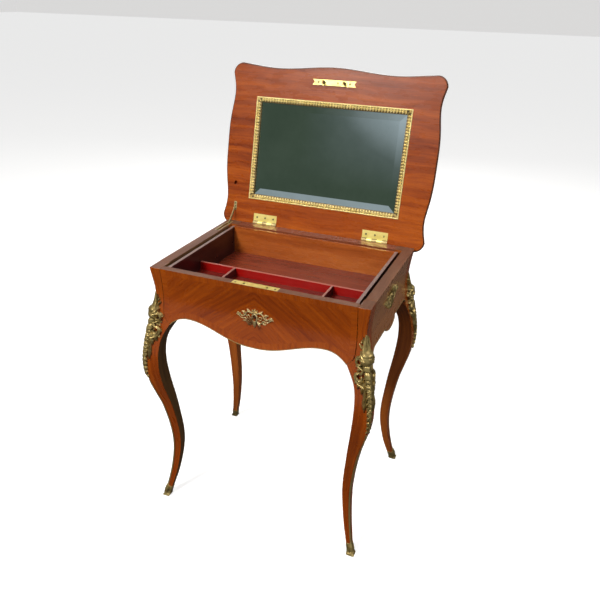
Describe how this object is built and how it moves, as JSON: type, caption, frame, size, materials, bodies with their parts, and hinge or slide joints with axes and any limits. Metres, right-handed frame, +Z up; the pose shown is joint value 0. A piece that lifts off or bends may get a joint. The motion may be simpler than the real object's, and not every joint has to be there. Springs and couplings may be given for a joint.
{
  "type": "vanity table with mirror",
  "caption": "Dressing table on cabriole legs, with a hinged serpentine lid that carries a framed mirror above a divided sliding drawer with a lock and key.",
  "frame": {"origin": "on the floor, at the centre of the object's bounding box in plan, with the lid raised and the drawer shut", "axes": "+X to the right seen from the front, +Y towards the back, +Z up"},
  "size_m": [0.6332, 0.5714, 1.1613],
  "materials": {
    "veneer": "french polished veneer",
    "plain_wood": "plain stained wood",
    "red_stain": "red stained and polished",
    "gilt": "aged gilt bronze",
    "brass": "polished brass",
    "steel": "worn steel",
    "mirror": "silvered glass with a wide bevel"
  },
  "bodies": {
    "carcass": {"leg_front_left": "veneer", "leg_front_right": "veneer", "leg_back_left": "veneer", "leg_back_right": "veneer", "side_panel_left": "veneer", "side_panel_right": "veneer", "back_panel": "plain_wood", "hinge_rail": "veneer", "front_rail": "plain_wood", "runner_left": "plain_wood", "runner_right": "plain_wood", "corner_mount_front_left": "gilt", "corner_mount_front_right": "gilt", "corner_mount_back_left": "gilt", "corner_mount_back_right": "gilt", "sabot_front_left": "gilt", "sabot_front_right": "gilt", "sabot_back_left": "gilt", "sabot_back_right": "gilt", "leg_fillets": "brass", "side_edgings": "brass", "side_mount_left": "gilt", "side_mount_right": "gilt", "hinge_fixed_left": "brass", "hinge_fixed_right": "brass", "hinge_pins": "steel", "stay_track": "brass", "screws_case": "brass"},
    "lid": {"lid_panel": "veneer", "mirror_backboard": "plain_wood", "mirror_glass": "mirror", "mirror_frame_top": "gilt", "mirror_frame_bottom": "gilt", "mirror_frame_left": "gilt", "mirror_frame_right": "gilt", "hinge_leaf_left": "brass", "hinge_leaf_right": "brass", "strike_plate": "brass", "strike_staples": "steel", "stay_bracket": "brass", "screws_lid": "brass"},
    "stay": {"stay_arm": "brass"},
    "drawer": {"drawer_front": "veneer", "drawer_side_left": "plain_wood", "drawer_side_right": "plain_wood", "drawer_back": "veneer", "drawer_floor": "veneer", "divider_long": "red_stain", "divider_left": "red_stain", "divider_right": "red_stain", "tray_floor_board": "red_stain", "lock_case": "steel", "lock_selvedge": "brass", "escutcheon": "gilt", "drawer_edging": "brass", "screws_drawer": "brass"},
    "bolt": {"lock_bolt": "steel"},
    "key": {"key": "steel"}
  },
  "joints": [
    {"name": "lid_hinge", "type": "hinge", "parent": "carcass", "child": "lid", "pos_m": [0, 0.1678, 0.7204], "axis": [1, 0, 0], "range_deg": [0, 102.7]},
    {"name": "stay_pivot", "type": "hinge", "parent": "lid", "child": "stay", "pos_m": [-0.27, 0.17017, 0.75369], "axis": [1, 0, 0], "range_deg": [-146.41, 0]},
    {"name": "drawer_slide", "type": "slide", "parent": "carcass", "child": "drawer", "axis": [0, 1, 0], "range_m": [-0.25, 0]},
    {"name": "key_turn", "type": "hinge", "parent": "drawer", "child": "key", "pos_m": [0, -0.2447, 0.639], "axis": [0, 1, 0], "range_deg": [0, 90]},
    {"name": "bolt_slide", "type": "slide", "parent": "drawer", "child": "bolt", "axis": [1, 0, 0], "range_m": [0, 0.008]}
  ],
  "couplings": [
    {"joint": "stay_pivot", "follows": "lid_hinge", "ratio": -1.4207},
    {"joint": "key_turn", "follows": "bolt_slide", "rad_per_m": 196.34}
  ]
}
